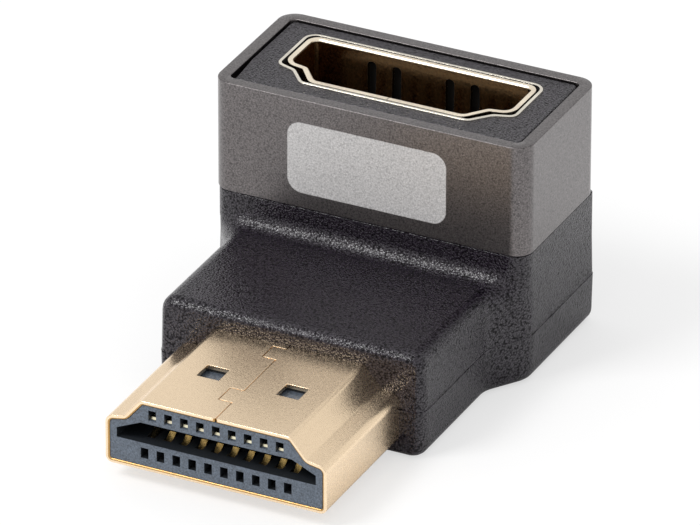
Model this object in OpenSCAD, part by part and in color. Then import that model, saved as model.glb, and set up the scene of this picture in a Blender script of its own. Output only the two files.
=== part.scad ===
// Right-angle video adapter: a flat plug points forward and a socket opens upward.
// Millimetres. X runs left to right, Y front to back, Z up.
// The origin is where the socket's axis meets the flat underside.

/* [Sleeve] */
// Width of the aluminium sleeve, left to right
sleeve_w = 20; // [19.6:0.1:26]
// Depth of the sleeve, front to back
sleeve_d = 9.7; // [9.6:0.1:13]
// Height of the sleeve
sleeve_h = 7; // [5.5:0.1:9]
// Wall of the sleeve
sleeve_wall = 0.75; // [0.5:0.01:0.9]
// Outer corner radius of the sleeve
sleeve_r = 1.1; // [0.6:0.05:1.6]
// Inner corner radius of the sleeve
sleeve_inner_r = 0.4; // [0.2:0.05:0.8]
// Bright bevel on the sleeve's outer edges
sleeve_bevel = 0.08; // [0.03:0.01:0.2]

/* [Moulded body] */
// Height of the moulding under the sleeve
neck_h = 8.47; // [8:0.05:12]
// Distance from the socket's axis to the flat front face
block_reach = 15; // [14:0.1:20]
// Width of the front block
block_w = 16.9; // [16:0.02:18]
// Height of the front block
block_h = 6.58; // [6.4:0.02:7.4]
// Radius round the front block's upright corners
block_r = 1; // [0.9:0.05:1.4]
// How far the flat front face cuts into the rounded corners
face_cut = 0.16; // [0.05:0.01:0.3]
// How far the moulding's lower half stands out past the sleeve
neck_proud = 0.03; // [0:0.01:0.1]
// Radius of the neck's front corners
neck_r = 1.15; // [0.95:0.05:1.5]
// Radius of the neck's back corners
back_r = 0.6; // [0.3:0.05:1.5]
// Radius along the bottom edge
bottom_r = 0.75; // [0.3:0.05:0.9]
// Radius along the front block's top edges
top_r = 0.9; // [0.4:0.05:0.95]
// Radius in the inner corner between block and neck
riser_r = 0.9; // [0.4:0.05:1.2]
// Steepest angle of the flared sides
flare_angle = 34; // [20:1:50]
// Hollow radius at the front of the flare
flare_hollow_r = 1.7; // [1.2:0.1:3]
// Round radius at the back of the flare
flare_round_r = 1.9; // [1.2:0.1:2.6]
// Distance from the socket's axis to where the flare ends
flare_end = 3.45; // [3:0.05:4]
// Height of the parting line of the two mould halves
parting_z = 3.05; // [2:0.05:4]
// Step at the parting line
parting_step = 0.04; // [0.02:0.01:0.1]
// Draft of each mould half
draft = 0.05; // [0:0.01:0.06]
// Bevel on the neck's top edge, which shows as a fine line under the sleeve
neck_bevel = 0.1; // [0.05:0.01:0.2]
// Diameter of the round mark on the front face
mark_d = 0.8; // [0.4:0.05:1]

/* [Plug] */
// Widest width of the plug's shell
plug_w = 13.9; // [13.7:0.02:14.2]
// Height of the plug's shell
plug_h = 4.45; // [4.4:0.01:4.6]
// Height of the upright sides above the wide side
plug_side_h = 3; // [2.9:0.01:3.1]
// Width between the two inner knees
plug_knee_w = 11.5; // [11.3:0.05:11.7]
// Height of the knees above the wide side
plug_knee_h = 3.22; // [3.15:0.01:3.3]
// Width of the narrow side
plug_narrow_w = 9.44; // [9.3:0.02:9.6]
// Length of the plug in front of the body
plug_len = 9.28; // [8.5:0.02:12]
// Height of the plug's wide side above the base
plug_z = 0.96; // [0.95:0.01:1.1]
// Thickness of the plug's gold-plated sheet
plug_sheet = 0.28; // [0.2:0.01:0.32]
// Length of the shell inside the body
plug_hold = 4; // [3:0.1:5]
// Side of the square latch windows
latch_size = 1.4; // [1:0.05:1.8]
// Latch windows' distance from the middle
latch_x = 2.5; // [2.3:0.05:2.8]
// Latch windows' distance from the plug's front edge
latch_reach = 4.73; // [4:0.01:5.5]
// Width of the folded sheet's seam
seam_gap = 0.05; // [0.03:0.01:0.08]
// How far the seam's two tabs reach sideways
seam_tab = 0.85; // [0.5:0.05:1.1]

/* [Contacts] */
// Distance between neighbouring contacts of one row
pitch = 1; // [1:0.01:1.02]
// Width of each contact
contact_w = 0.4; // [0.3:0.01:0.42]
// Thickness of the plug's contacts
contact_t = 0.15; // [0.1:0.01:0.18]
// Width of the contact channels in the plug's insulator
channel_w = 0.48; // [0.45:0.01:0.55]
// Height of the contact channels
channel_h = 0.66; // [0.6:0.01:0.7]
// Thickness of the socket's contacts
blade_t = 0.12; // [0.08:0.01:0.16]

/* [Socket] */
// Clearance between a mated plug and the socket's shell
mating_gap = 0.05; // [0.03:0.01:0.08]
// Thickness of the socket's sheet
socket_sheet = 0.3; // [0.2:0.01:0.32]
// Distance from the socket's axis to the shell's wide inner wall
socket_wide_y = 2.45; // [2.3:0.01:2.5]
// Gap between the socket's long lips and the shield ring
lip_gap = 0.09; // [0.05:0.01:0.2]
// Depth that a plug goes in
insertion = 9.1; // [8.6:0.05:9.4]
// Depth of the socket's rim below the sleeve's
rim_drop = 0.06; // [0:0.01:0.3]
// Width of the spring fingers
finger_w = 1.02; // [0.7:0.01:1.2]
// Width of the slots beside the fingers
finger_slot = 0.58; // [0.4:0.01:0.6]
// Distance from the rim to the slots' round ends
finger_root = 0.65; // [0.5:0.05:1.5]
// How far the fingers lean inward
finger_lean = 0.32; // [0.1:0.01:0.4]
// Half the width of the outer shield ring
shield_half_w = 7.63; // [7.6:0.01:7.8]
// Distance from the socket's axis to the shield's back
shield_back = 3.35; // [3.3:0.01:3.5]
// Distance from the socket's axis to the shield's front
shield_front = 2.87; // [2.85:0.01:3]
// Thickness of the shield
shield_t = 0.2; // [0.15:0.01:0.22]
// Thickness of the tongue
tongue_t = 0.9; // [0.8:0.01:0.95]
// Width of the tongue
tongue_w = 12.1; // [11.8:0.05:12.2]

/* [Inside] */
// Thickness of the circuit board
board_t = 0.8; // [0.6:0.05:1]
// Clearance round pieces that pass through others
slip = 0.02; // [0.01:0.01:0.05]
// Gap between the moulding and the sleeve round it
sleeve_gap = 0.12; // [0.05:0.01:0.2]
// Depth of the moulding's top below the sleeve's rim
top_drop = 0.1; // [0.03:0.01:0.3]
// Wall of the moulding under the inner mould
floor_wall = 0.6; // [0.4:0.05:0.7]

/* [Hidden] */
$fn = 48;
odd_pins = [for (k = [1:2:19]) k];
even_pins = [for (k = [2:2:18]) k];
pins = concat(odd_pins, even_pins);
function pin_name(kind, k) = str(kind, "_contact_", k < 10 ? "0" : "", k);

over = 1;
far = 100;
layer_gap = 0.01;
gold = [0.86, 0.74, 0.5];
slate = [0.33, 0.37, 0.41];
arc_steps = 6;

// Heights
sleeve_top = neck_h + sleeve_h;
rim_z = sleeve_top - rim_drop;
insert_top = sleeve_top - top_drop;
mid_z = plug_z + plug_h / 2;
board_z = mid_z - board_t / 2;
board_top = board_z + board_t;
seat_z = rim_z - insertion;

// Plug
plug_front = -block_reach - plug_len;
plug_back = -block_reach + plug_hold;
insulator_recess = 0.07;
insulator_back = plug_back - 2.2;
slot_depth = 7.5;
slot_floor = 1.72;
slot_roof = 3;
slot_side_h = 2.33;
slot_half_w = 6.25;
slot_roof_half_w = 4.75;
odd_channel_h = 1.07;
even_channel_h = 3.57;
spring_start = 0.85;
spring_end = 4.1;

// Socket
socket_profile_y = socket_wide_y - mating_gap;
tongue_wide_h = slot_floor + 0.13;
tongue_tip_z = seat_z + slot_depth - 0.1;
blade_top = tongue_tip_z - 0.5;
shield_bottom = 6;
finger_x = latch_x;
finger_latch_z = rim_z - insertion + latch_reach;
finger_end_z = finger_latch_z - 0.9;
finger_slot_x = finger_x - finger_w / 2 - finger_slot / 2;
finger_slot_x2 = finger_x + finger_w / 2 + finger_slot / 2;

// Body
neck_hw = sleeve_w / 2 + neck_proud;
block_hw = block_w / 2;
neck_front = -sleeve_d / 2 - neck_proud;
neck_back = sleeve_d / 2 + neck_proud;
insert_hw = sleeve_w / 2 - sleeve_wall - sleeve_gap;
insert_hd = sleeve_d / 2 - sleeve_wall - sleeve_gap;
insert_r = max(0.1, sleeve_inner_r - sleeve_gap / 2);

// Inner mould and board
inner_front = -block_reach + 2;
inner_step_y = neck_front + 1.45;
inner_back = neck_back - 1;
inner_front_hw = plug_w / 2 + 0.65;
inner_back_hw = shield_half_w + 0.9;
inner_top = plug_z + plug_h + 0.5;
inner_neck_top = neck_h - 0.45;
board_front = plug_back + 0.1;
board_step_y = inner_step_y + 0.5;
board_back = inner_back - 0.35;
board_front_hw = plug_w / 2 - plug_sheet - 0.05;
board_back_hw = shield_half_w + 0.3;
pocket_len = 2;
leg_w = 0.8;
leg_places = [socket_profile_y - 2.1, socket_profile_y - 0.9];
leg_len = board_t + 0.45;
leg_gap = 0.05;
leg_x = plug_w / 2 + mating_gap + socket_sheet / 2;
wing_len = 1.4;
wing_low_h = 0.9;
wing_high_h = 2.4;

// Outward normal of the edge from a to b of an outline that runs anticlockwise
function edge_normal(a, b) = [b.y - a.y, a.x - b.x] / norm(b - a);

// A closed outline moved outward by g, with sharp corners
function grown(pts, g) = let (n = len(pts)) [
    for (i = [0:n - 1])
        let (
            before = edge_normal(pts[(i + n - 1) % n], pts[i]),
            after = edge_normal(pts[i], pts[(i + 1) % n])
        )
        pts[i] + (before + after) * g / (1 + before * after)
];

// The arc that rounds corner p between neighbours a and b
function corner_arc(a, p, b, r, steps = arc_steps) =
    let (
        u = (a - p) / norm(a - p),
        v = (b - p) / norm(b - p),
        opening = acos(u * v),
        centre = p + (u + v) / norm(u + v) * r / sin(opening / 2),
        first = (p + u * r / tan(opening / 2) - centre) / r,
        last = (p + v * r / tan(opening / 2) - centre) / r,
        sweep = 180 - opening
    )
    [for (i = [0:steps])
        centre + r * (sin(sweep * (1 - i / steps)) * first + sin(sweep * i / steps) * last)
            / sin(sweep)];

// A closed outline with every corner rounded
function rounded(pts, radii) = let (n = len(pts)) [
    for (i = [0:n - 1])
        each corner_arc(pts[(i + n - 1) % n], pts[i], pts[(i + 1) % n], radii[i])
];

// The plug's outline: half widths, then heights above the wide side
function d_outline(wide, side_h, knee, knee_h, narrow, h) = [
    [-wide, 0], [wide, 0], [wide, side_h], [knee, knee_h],
    [narrow, h], [-narrow, h], [-knee, knee_h], [-wide, side_h]
];
d_corners = d_outline(plug_w / 2, plug_side_h, plug_knee_w / 2, plug_knee_h,
    plug_narrow_w / 2, plug_h);
function d_radii(g) = let (wide = 0.4 + g, side = 0.55 + g, knee = 0.5 - g, narrow = 0.45 + g)
    [wide, wide, side, knee, narrow, narrow, knee, side];
function d_profile(g) = rounded(grown(d_corners, g), d_radii(g));

// The right half of an outline whose corners 1 to 4 lie on the right
function right_half(pts, radii) = [
    for (i = [1:4]) each corner_arc(pts[i - 1], pts[i], pts[i + 1], radii[i])
];

// A solid through mirrored outlines: each layer is a right half, front to back, as 3-D points
module loft(layers) {
    half = len(layers[0]);
    count = 2 * half;
    last = len(layers) - 1;
    rings = [
        for (layer = layers)
            each concat(layer, [for (i = [half - 1:-1:0]) [-layer[i].x, layer[i].y, layer[i].z]])
    ];
    middles = [
        for (layer = [layers[0], layers[last]])
            [0, (layer[0].y + layer[half - 1].y) / 2, layer[0].z]
    ];
    bottom = len(rings);
    walls = [
        for (k = [0:last - 1])
            for (i = [0:count - 1])
                let (
                    a = k * count + i,
                    b = k * count + (i + 1) % count
                )
                each [[a, a + count, b + count], [a, b + count, b]]
    ];
    caps = [
        for (i = [0:count - 1])
            let (
                a = i,
                b = (i + 1) % count
            )
            each [[bottom, a, b], [bottom + 1, last * count + b, last * count + a]]
    ];
    polyhedron(points = concat(rings, middles), faces = concat(walls, caps), convexity = 8);
}

// A closed outline of thickness t that follows a path
function path_side(path, i) =
    let (
        last = len(path) - 1,
        before = edge_normal(path[max(i - 1, 0)], path[max(i, 1)]),
        after = edge_normal(path[min(i, last - 1)], path[min(i + 1, last)])
    )
    (before + after) / (1 + before * after);
function strip(path, t) = concat(
    [for (i = [0:len(path) - 1]) path[i] + path_side(path, i) * t / 2],
    [for (i = [len(path) - 1:-1:0]) path[i] - path_side(path, i) * t / 2]);

// Extrudes an outline in Y and Z by w along X, centred on x
module across(x, w) {
    translate([x - w / 2, 0, 0])
        rotate([90, 0, 90])
            linear_extrude(w) children();
}

// A box from its lowest to its highest corner
module span(low, high) {
    translate(low) cube(high - low);
}

// The plug's outline moved outward by g, as a solid between two Y places
module plug_prism(g, front, back) {
    translate([0, back, plug_z])
        rotate([90, 0, 0])
            linear_extrude(back - front) polygon(d_profile(g));
}

// The socket's outline moved outward by g, as a solid between two heights
module socket_prism(g, low, high) {
    translate([0, socket_profile_y, low])
        mirror([0, 1, 0])
            linear_extrude(high - low) polygon(d_profile(g));
}

// Sleeve

// A rounded rectangle's upright solid with bevelled outer edges
module bevelled_block(w, d, h, r, bevel) {
    module layer(low, high, cut_low, cut_high) {
        for (x = [r - w / 2, w / 2 - r], y = [r - d / 2, d / 2 - r])
            translate([x, y, low]) cylinder(r1 = r - cut_low, r2 = r - cut_high, h = high - low);
        translate([r - w / 2, 0, 0])
            rotate([90, 0, 90])
                linear_extrude(w - 2 * r)
                    polygon([[cut_low - d / 2, low], [d / 2 - cut_low, low],
                        [d / 2 - cut_high, high], [cut_high - d / 2, high]]);
        translate([0, d / 2 - r, 0])
            rotate([90, 0, 0])
                linear_extrude(d - 2 * r)
                    polygon([[cut_low - w / 2, low], [w / 2 - cut_low, low],
                        [w / 2 - cut_high, high], [cut_high - w / 2, high]]);
    }
    layer(0, bevel, bevel, 0);
    layer(bevel, h - bevel, 0, 0);
    layer(h - bevel, h, 0, bevel);
}

module rounded_rectangle(w, d, r) {
    square([w - 2 * r, d], center = true);
    square([w, d - 2 * r], center = true);
    for (x = [r - w / 2, w / 2 - r], y = [r - d / 2, d / 2 - r])
        translate([x, y]) circle(r);
}

module outer_sleeve() {
    color([0.36, 0.35, 0.35])
        translate([0, 0, neck_h])
            difference() {
                bevelled_block(sleeve_w, sleeve_d, sleeve_h, sleeve_r, sleeve_bevel);
                translate([0, 0, -over])
                    linear_extrude(sleeve_h + 2 * over)
                        rounded_rectangle(sleeve_w - 2 * sleeve_wall,
                            sleeve_d - 2 * sleeve_wall, sleeve_inner_r);
            }
}

// Body

// Points of an arc as [x, y, outward normal x, outward normal y]
function arc_run(centre, r, from, to, side, steps = arc_steps) = [
    for (i = [0:steps])
        let (a = from + (to - from) * i / steps)
        [centre.x + r * cos(a), centre.y + r * sin(a), side * cos(a), side * sin(a)]
];

flare_step = neck_hw - block_hw;
flare_radii = flare_hollow_r + flare_round_r;
flare_turn = min(flare_angle, acos(1 - flare_step / flare_radii));
flare_straight = (flare_step - flare_radii * (1 - cos(flare_turn))) / sin(flare_turn);
flare_start = -flare_end - flare_radii * sin(flare_turn) - flare_straight * cos(flare_turn);
corner_y = -block_reach - face_cut + block_r;
front_corner = arc_run([block_hw - block_r, corner_y], block_r, -90, 0, 1);
flare_hollow = arc_run([block_hw + flare_hollow_r, flare_start], flare_hollow_r,
    180, 180 - flare_turn, -1);
flare_round = arc_run([neck_hw - flare_round_r, -flare_end], flare_round_r,
    -flare_turn, 0, 1, 2 * arc_steps);
flare_middle = [
    for (i = [1:arc_steps - 1])
        flare_hollow[arc_steps] + (flare_round[0] - flare_hollow[arc_steps]) * i / arc_steps
];
back_corner = arc_run([neck_hw - back_r, neck_back - back_r], back_r, 0, 90, 1);
front_side = concat(front_corner, flare_hollow, flare_middle, flare_round);

// The back corner at height z, of half width hw, half depth hd and radius r
function back_layer(z, hw, hd, r) = [
    for (p = back_corner) [hw - r * (1 - p[2]), hd - r * (1 - p[3]), z]
];
function inset_back(z, inset) =
    back_layer(z, neck_hw - inset, neck_back - inset, max(back_r - inset, 0.05));

// The whole plan at height z, drawn in by inset, and rounded in by cut except on the flat face
function plan_layer(z, inset, cut = 0) = concat(
    [for (p = front_side)
        let (drawn = inset + cut)
        [p[0] - p[2] * drawn, max(p[1] - p[3] * drawn, inset - block_reach), z]],
    inset_back(z, inset + cut));

// Centre of the neck's front corner, and the way inward from a plan point to the neck's outline
neck_corner = [neck_hw - neck_r, neck_front + neck_r];
function neck_room(p) =
    let (
        from = [p[0], p[1]] - neck_corner,
        inward = from * [p[2], p[3]],
        spare = inward * inward - from * from + neck_r * neck_r,
        to_corner = inward - sqrt(max(spare, 0)),
        hit = [p[0], p[1]] - to_corner * [p[2], p[3]]
    )
    spare >= 0 && hit.x >= neck_corner.x && hit.y <= neck_corner.y ? max(to_corner, 0)
        : p[3] < 0 && p[1] < neck_front ? (p[1] - neck_front) / p[3]
        : p[1] < neck_corner.y ? far : 0;

// The smaller of two cuts, with a soft change from one to the other
function soft_cut(cut, room) =
    let (soft = min(0.25, room))
    room < 0.001 ? 0 : min(cut, room) - pow(max(soft - abs(cut - room), 0), 2) / (4 * soft);

// The upper half near its top edges: the front side's edge is rounded in up to the neck
function rim_layer(z, inset, cut) = concat(
    [for (p = front_side)
        let (drawn = inset + soft_cut(cut, neck_room(p)))
        [p[0] - p[2] * drawn, max(p[1] - p[3] * drawn, inset - block_reach), z]],
    inset_back(z, inset));

// Where each point of the front side lands on the neck: share of the neck's width,
// direction out of its corner, place past the corner, and distance from the rounded edge.
// The slight skew keeps the points of the straight sides apart.
rim_r = min(top_r, block_r - 0.05);
skew = 0.01;
landings = [
    for (p = front_side)
        let (
            drawn = soft_cut(rim_r, neck_room(p)),
            x = p[0] - p[2] * drawn,
            y = p[1] - p[3] * drawn,
            out = [max(x - neck_corner.x, 0), min(y - neck_corner.y, -0.0001)],
            away = norm(out),
            spread = x + skew * (p[1] + block_reach)
        )
        [min(spread / neck_corner.x, 1), out / away, max(y - neck_corner.y, 0),
            max(away - neck_r, 0)]
];

// A rounded rectangle with the plan's number of points at height z, grown by up to reach
// where it lands on the front block
function block_layer(z, hw, hd, front_r, rear_r, reach = 0) = concat(
    [for (l = landings)
        let (r = front_r + min(reach, l[3]))
        [(hw - front_r) * l[0] + r * l[1].x, front_r - hd + r * l[1].y + l[2], z]],
    back_layer(z, hw, hd, rear_r));

function neck_layer(z, inset, reach = 0) =
    block_layer(z, neck_hw - inset, neck_back - inset, neck_r - inset, back_r - inset, reach);

function insert_layer(z, inset) =
    block_layer(z, insert_hw - inset, insert_hd - inset, insert_r - inset / 2,
        insert_r - inset / 2);

module body_shape() {
    edge_r = min(bottom_r, block_r - 0.1, neck_r - 0.1);
    steps = arc_steps;
    upper = parting_step + draft;
    groove = 0.015;
    insert_bevel = 0.05;
    loft(concat(
        [for (i = [0:steps])
            let (a = 90 * i / steps)
            plan_layer(edge_r * (1 - cos(a)), draft, edge_r * (1 - sin(a)))],
        [plan_layer(parting_z, 0)],
        [plan_layer(parting_z + groove, parting_step + groove)],
        [plan_layer(parting_z + 2 * groove, parting_step)],
        [for (i = [0:steps])
            let (a = 90 * i / steps)
            rim_layer(block_h - rim_r * (1 - sin(a)), upper, rim_r * (1 - cos(a)))],
        [for (i = [0:steps])
            let (a = 90 * i / steps)
            neck_layer(block_h + layer_gap + riser_r * (1 - cos(a)), upper,
                riser_r * (1 - sin(a)))],
        [neck_layer(neck_h - neck_bevel, upper)],
        [neck_layer(neck_h, upper + neck_bevel)],
        [insert_layer(neck_h, 0)],
        [insert_layer(insert_top - insert_bevel, 0)],
        [insert_layer(insert_top, insert_bevel)]
    ));
}

// Trimmed strip on the left of the moulding's top, inside the sleeve
module insert_trim() {
    trim_depth = 0.8;
    trim_start = -0.9;
    trim_end = -3.6;
    trim_taper = 0.24;
    translate([-insert_hw, 0, insert_top - trim_depth])
        linear_extrude(trim_depth + over)
            polygon([[-over, trim_start], [0, trim_start], [trim_taper, trim_end],
                [trim_taper, -insert_hd - over], [-over, -insert_hd - over]]);
}

// Shallow round mark on the front face, right of the plug
module front_mark() {
    mark_depth = 0.03;
    mark_in = 0.87;
    mark_rise = 1.52;
    translate([block_hw - mark_in, mark_depth - block_reach, plug_z + mark_rise])
        rotate([90, 0, 0]) cylinder(d = mark_d, h = over);
}

module inner_block() {
    span([-inner_front_hw, inner_front, floor_wall], [inner_front_hw, inner_step_y, inner_top]);
    span([-inner_back_hw, inner_step_y, floor_wall], [inner_back_hw, inner_back, inner_neck_top]);
}

module body_overmould() {
    color([0.13, 0.13, 0.14])
        difference() {
            body_shape();
            plug_prism(0, -block_reach - over, inner_front + slip);
            inner_block();
            shield_prism(0, inner_neck_top - slip, sleeve_top + over);
            insert_trim();
            front_mark();
        }
}

// Plug

seam_front_tab = [2.13, 3.63];
seam_back_tab = [7.63, 8.98];
seam_path = [
    [0, -over],
    [0, seam_front_tab[0]], [-seam_tab, seam_front_tab[0]],
    [-seam_tab, seam_front_tab[1]], [0, seam_front_tab[1]],
    [0, seam_back_tab[0]], [-seam_tab, seam_back_tab[0]],
    [-seam_tab, seam_back_tab[1]], [0, seam_back_tab[1]],
    [0, plug_len + plug_hold + over]
];

module plug_shell() {
    narrow_z = plug_z + plug_h;
    color(gold)
        difference() {
            union() {
                difference() {
                    plug_prism(0, plug_front, plug_back);
                    plug_prism(-plug_sheet, plug_front - over, plug_back + over);
                }
                for (side = [-1, 1])
                    translate([side * (plug_w - plug_sheet) / 2, plug_back, plug_z])
                        span([-plug_sheet / 2, -over, wing_low_h],
                            [plug_sheet / 2, wing_len, wing_high_h]);
            }
            for (side = [-1, 1])
                translate([side * latch_x - latch_size / 2, plug_front + latch_reach - latch_size / 2,
                    narrow_z - over])
                    cube([latch_size, latch_size, 2 * over]);
            translate([0, plug_front, narrow_z - plug_sheet - 0.2])
                linear_extrude(plug_sheet + over) polygon(strip(seam_path, seam_gap));
        }
}

// Half a pitch apart: the wide row has ten contacts, the narrow row nine
function pin_x(k) = (10 - k) / 2 * pitch;

tongue_slot = [
    [-slot_half_w, slot_floor], [slot_half_w, slot_floor], [slot_half_w, slot_side_h],
    [slot_roof_half_w, slot_roof], [-slot_roof_half_w, slot_roof], [-slot_half_w, slot_side_h]
];

module contact_channel(k) {
    odd = k % 2 == 1;
    x = pin_x(k);
    z = plug_z + (odd ? odd_channel_h : even_channel_h);
    low = plug_z + (odd ? odd_channel_h : slot_roof - 0.1);
    high = plug_z + (odd ? slot_floor + 0.1 : even_channel_h);
    span([x - channel_w / 2, plug_front - over, z - channel_h / 2],
        [x + channel_w / 2, insulator_back + over, z + channel_h / 2]);
    span([x - channel_w / 2, plug_front + spring_start, low],
        [x + channel_w / 2, plug_front + spring_end, high]);
}

module plug_insulator() {
    color(slate)
        difference() {
            plug_prism(-plug_sheet, plug_front + insulator_recess, insulator_back);
            translate([0, plug_front + slot_depth, plug_z])
                rotate([90, 0, 0])
                    linear_extrude(slot_depth + over) polygon(tongue_slot);
            for (k = pins) contact_channel(k);
            for (side = [-1, 1])
                translate([side * latch_x - latch_size / 2 - 0.1,
                    plug_front + latch_reach - latch_size / 2 - 0.1,
                    plug_z + plug_h - plug_sheet - 0.2])
                    cube([latch_size + 0.2, latch_size + 0.2, over]);
        }
}

// The formed path of a plug contact in Y and Z: tip, spring bump, long run, solder tail
function contact_path(odd) =
    let (
        out = odd ? 1 : -1,
        run_h = odd ? odd_channel_h : even_channel_h,
        wall_h = odd ? slot_floor : slot_roof,
        tail_z = odd ? board_z - contact_t / 2 : board_top + contact_t / 2
    )
    [
        [plug_front + 0.7, plug_z + run_h + out * 0.1],
        [plug_front + 1.2, plug_z + wall_h - out * 0.22],
        [plug_front + 1.7, plug_z + wall_h + out * 0.12],
        [plug_front + 2.2, plug_z + wall_h + out * 0.12],
        [plug_front + 3, plug_z + wall_h - out * 0.28],
        [plug_front + 3.7, plug_z + run_h],
        [plug_back - 1.3, plug_z + run_h],
        [plug_back - 0.5, tail_z],
        [board_front + 1, tail_z]
    ];

module plug_contact(k) {
    color(gold)
        across(pin_x(k), contact_w)
            polygon(strip(contact_path(k % 2 == 1), contact_t));
}

// Socket

shield_corners = d_outline(shield_half_w, shield_back + 1.25, shield_half_w - 1.23,
    shield_back + 1.65, shield_half_w - 2.28, shield_back + shield_front);
function shield_radii(g) = let (wide = 0.85 + g, side = 0.6 + g, knee = 0.45 - g, narrow = 0.6 + g)
    [wide, wide, side, knee, narrow, narrow, knee, side];

module shield_prism(g, low, high) {
    translate([0, shield_back, low])
        mirror([0, 1, 0])
            linear_extrude(high - low)
                polygon(rounded(grown(shield_corners, g), shield_radii(g)));
}

module socket_outer_shield() {
    color([0.85, 0.82, 0.76])
        difference() {
            shield_prism(0, shield_bottom, rim_z + 0.02);
            shield_prism(-shield_t, shield_bottom - over, rim_z + over);
        }
}

mouth_h = 0.4;
outer_g = mating_gap + socket_sheet;
socket_seam_x = 0.08;

// How far the wide and the narrow lip lean outward, up to the shield ring
wide_lean = shield_back - shield_t - lip_gap - socket_wide_y - socket_sheet;
narrow_lean = shield_front - shield_t - lip_gap + socket_profile_y - plug_h - outer_g;

// The socket's right half outline at height z, moved outward by g all round
// and by a share of the lean on the two long sides
function mouth_layer(z, g, share) =
    let (
        half = right_half(grown(d_corners, g), d_radii(g)),
        middle = plug_h / 2
    )
    [for (i = [len(half) - 1:-1:0])
        let (
            p = half[i],
            away = (p.y - middle) / (middle + g),
            lean = away > 0 ? narrow_lean : wide_lean
        )
        [p.x, socket_profile_y - p.y - share * lean * away, z]];

module socket_mouth(g, low, high, spread) {
    steps = 4;
    loft([
        for (i = [0:steps])
            let (t = i / steps)
            mouth_layer(low + (high - low) * t, g + spread * pow(t, 3), pow(t, 2))
    ]);
}

// The spring finger's path in Y and Z, for the wide side: root, latch bend, free end
function finger_path(side) =
    let (
        wall = side > 0 ? socket_wide_y + socket_sheet / 2
            : socket_profile_y - plug_h - mating_gap - socket_sheet / 2
    )
    [
        [wall, rim_z - finger_root - finger_slot],
        [wall - side * 0.05, finger_latch_z + 2],
        [wall - side * finger_lean, finger_latch_z + 0.3],
        [wall - side * finger_lean, finger_latch_z - 0.3],
        [wall - side * 0.05, finger_end_z]
    ];

module finger_cut() {
    high = rim_z - finger_root;
    for (x = [finger_slot_x, finger_slot_x2], side = [-1, 1])
        translate([side * x, 0, 0]) {
            span([-finger_slot / 2, -over, finger_end_z - finger_slot],
                [finger_slot / 2, over, high - finger_slot / 2]);
            translate([0, over, high - finger_slot / 2])
                rotate([90, 0, 0]) cylinder(d = finger_slot, h = 2 * over);
        }
    for (side = [-1, 1])
        translate([side * finger_x, 0, 0])
            span([-finger_w / 2 - finger_slot / 2, -over, finger_end_z - finger_slot],
                [finger_w / 2 + finger_slot / 2, over, rim_z - finger_root - finger_slot]);
}

module socket_shell() {
    mouth_z = rim_z - mouth_h;
    color(gold) {
        difference() {
            union() {
                socket_prism(outer_g, board_top, mouth_z);
                socket_mouth(outer_g, mouth_z, rim_z, 0);
                for (side = [-1, 1], y = leg_places)
                    translate([side * leg_x, y, board_top])
                        span([-socket_sheet / 2, -leg_w / 2, -leg_len],
                            [socket_sheet / 2, leg_w / 2, over]);
            }
            socket_prism(mating_gap, board_top - over, mouth_z);
            socket_mouth(mating_gap, mouth_z, rim_z, 0.02);
            translate([0, socket_wide_y + socket_sheet / 2, 0]) finger_cut();
            translate([0, finger_path(-1)[0].x, 0]) finger_cut();
            translate([socket_seam_x, socket_profile_y - plug_h, 0])
                span([-seam_gap / 2, -over, board_top - over], [seam_gap / 2, over, rim_z + over]);
        }
        for (side = [-1, 1], x = [-finger_x, finger_x])
            across(x, finger_w) polygon(strip(finger_path(side), socket_sheet));
    }
}

// The tongue's outline, as the plug's slot less its clearance
tongue_outline = [
    [-tongue_w / 2, tongue_wide_h], [tongue_w / 2, tongue_wide_h],
    [tongue_w / 2, slot_side_h - 0.08], [slot_roof_half_w + 0.2, tongue_wide_h + tongue_t],
    [-slot_roof_half_w - 0.2, tongue_wide_h + tongue_t], [-tongue_w / 2, slot_side_h - 0.08]
];
tongue_wide_y = socket_profile_y - tongue_wide_h;
tongue_narrow_y = tongue_wide_y - tongue_t;
foot_len = 1.3;

// A socket contact in Y and Z: a flat blade on the tongue and a foot on the board
function blade_outline(odd, gap) =
    let (
        face = odd ? tongue_wide_y : tongue_narrow_y,
        out = odd ? 1 : -1,
        inner = face - out * (blade_t + gap),
        toe = face + out * foot_len
    )
    [
        [inner, board_top], [toe, board_top], [toe, board_top + blade_t],
        [face, board_top + blade_t], [face, blade_top + gap], [inner, blade_top + gap]
    ];

module socket_insulator() {
    base_lift = 0.35;
    post_x = 5.4;
    color(slate)
        difference() {
            union() {
                difference() {
                    socket_prism(mating_gap - slip, board_top, seat_z);
                    span([-post_x, -10, board_top - over], [post_x, 10, board_top + base_lift]);
                }
                translate([0, socket_profile_y, seat_z - over])
                    mirror([0, 1, 0])
                        linear_extrude(tongue_tip_z - seat_z + over) polygon(tongue_outline);
            }
            for (k = pins)
                let (
                    odd = k % 2 == 1,
                    face = odd ? tongue_wide_y : tongue_narrow_y,
                    out = odd ? 1 : -1,
                    edges = [face - out * blade_t, face + out * slip]
                ) {
                    span([pin_x(k) - contact_w / 2 - slip, min(edges), board_top],
                        [pin_x(k) + contact_w / 2 + slip, max(edges), blade_top + slip]);
                }
        }
}

module socket_contact(k) {
    color(gold)
        across(pin_x(k), contact_w)
            polygon(blade_outline(k % 2 == 1, 0));
}

// Inside

module board_shape() {
    linear_extrude(board_t)
        polygon([
            [-board_front_hw, board_front], [board_front_hw, board_front],
            [board_front_hw, board_step_y], [board_back_hw, board_step_y],
            [board_back_hw, board_back], [-board_back_hw, board_back],
            [-board_back_hw, board_step_y], [-board_front_hw, board_step_y]
        ]);
}

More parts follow.
